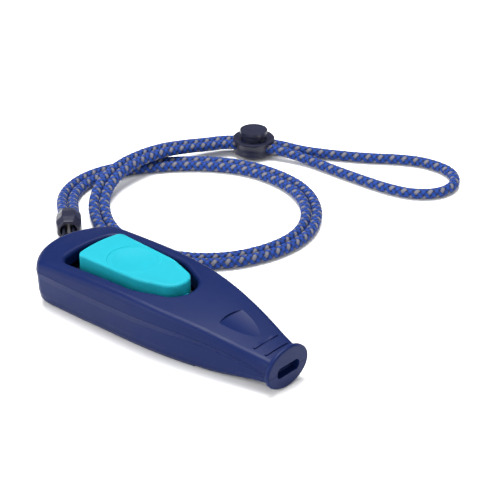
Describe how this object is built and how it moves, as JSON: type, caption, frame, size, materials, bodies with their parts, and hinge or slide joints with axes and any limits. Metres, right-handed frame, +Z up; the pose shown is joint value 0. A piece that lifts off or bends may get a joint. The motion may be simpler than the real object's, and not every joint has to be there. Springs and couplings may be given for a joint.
{
  "type": "training whistle",
  "caption": "Dog training whistle with a flanged mouthpiece, a built-in push-button clicker on top, and a doubled braided cord lanyard with a spring cord lock, laid flat.",
  "frame": {"origin": "on the surface the whistle rests on, under the middle of the whistle", "axes": "+X along the whistle from its rear to the mouthpiece, +Y to its left side, +Z up through the clicker button"},
  "size_m": [0.1586, 0.1819, 0.0212],
  "materials": {
    "shell_plastic": "satin dark navy moulding",
    "case_screw_steel": "plain steel",
    "insert_plastic": "dark navy moulding",
    "button_plastic": "satin cyan moulding",
    "frame_plastic": "near-black moulding",
    "frame_screw_steel": "dark steel",
    "strip_steel": "spring steel",
    "clamp_steel": "zinc plated",
    "clamp_screw_steel": "plain steel",
    "pin_steel": "plain steel",
    "link_steel": "plain steel",
    "connector_plastic": "charcoal navy moulding",
    "cord_braid": "royal blue braid with grey flecks",
    "lock_plastic": "charcoal navy moulding",
    "spring_steel": "spring steel"
  },
  "bodies": {
    "whistle": {"top_shell": "shell_plastic", "bottom_shell": "shell_plastic", "case_screws": "case_screw_steel", "windway_insert": "insert_plastic", "mechanism_frame": "frame_plastic", "frame_screws": "frame_screw_steel", "click_strip": "strip_steel", "strip_clamp": "clamp_steel", "clamp_screws": "clamp_screw_steel", "lanyard_pin": "pin_steel"},
    "button": {"clicker_button": "button_plastic"},
    "link": {"lanyard_link": "link_steel"},
    "lanyard": {"connector_body": "connector_plastic", "connector_cover": "connector_plastic", "connector_pin": "pin_steel", "lanyard_cord": "cord_braid", "lock_body": "lock_plastic", "lock_spring": "spring_steel"},
    "plunger": {"lock_plunger": "lock_plastic"}
  },
  "joints": [
    {"name": "button_press", "type": "slide", "parent": "whistle", "child": "button", "axis": [0, 0, -1], "range_m": [0, 0.002], "stiffness_N_per_m": 1500, "springref_m": -0.001, "deforming": ["click_strip"]},
    {"name": "link_swivel", "type": "hinge", "parent": "whistle", "child": "link", "pos_m": [-0.0495, 0, 0.005], "axis": [0, 0, 1], "range_deg": [-8, 8]},
    {"name": "connector_swivel", "type": "hinge", "parent": "link", "child": "lanyard", "pos_m": [-0.07155, 0.02063, 0.005], "axis": [0, 0, 1], "range_deg": [-8, 8]},
    {"name": "lock_press", "type": "slide", "parent": "lanyard", "child": "plunger", "axis": [0, 0, -1], "range_m": [0, 0.0012], "stiffness_N_per_m": 2500, "springref_m": -0.003, "deforming": ["lock_spring"]}
  ]
}
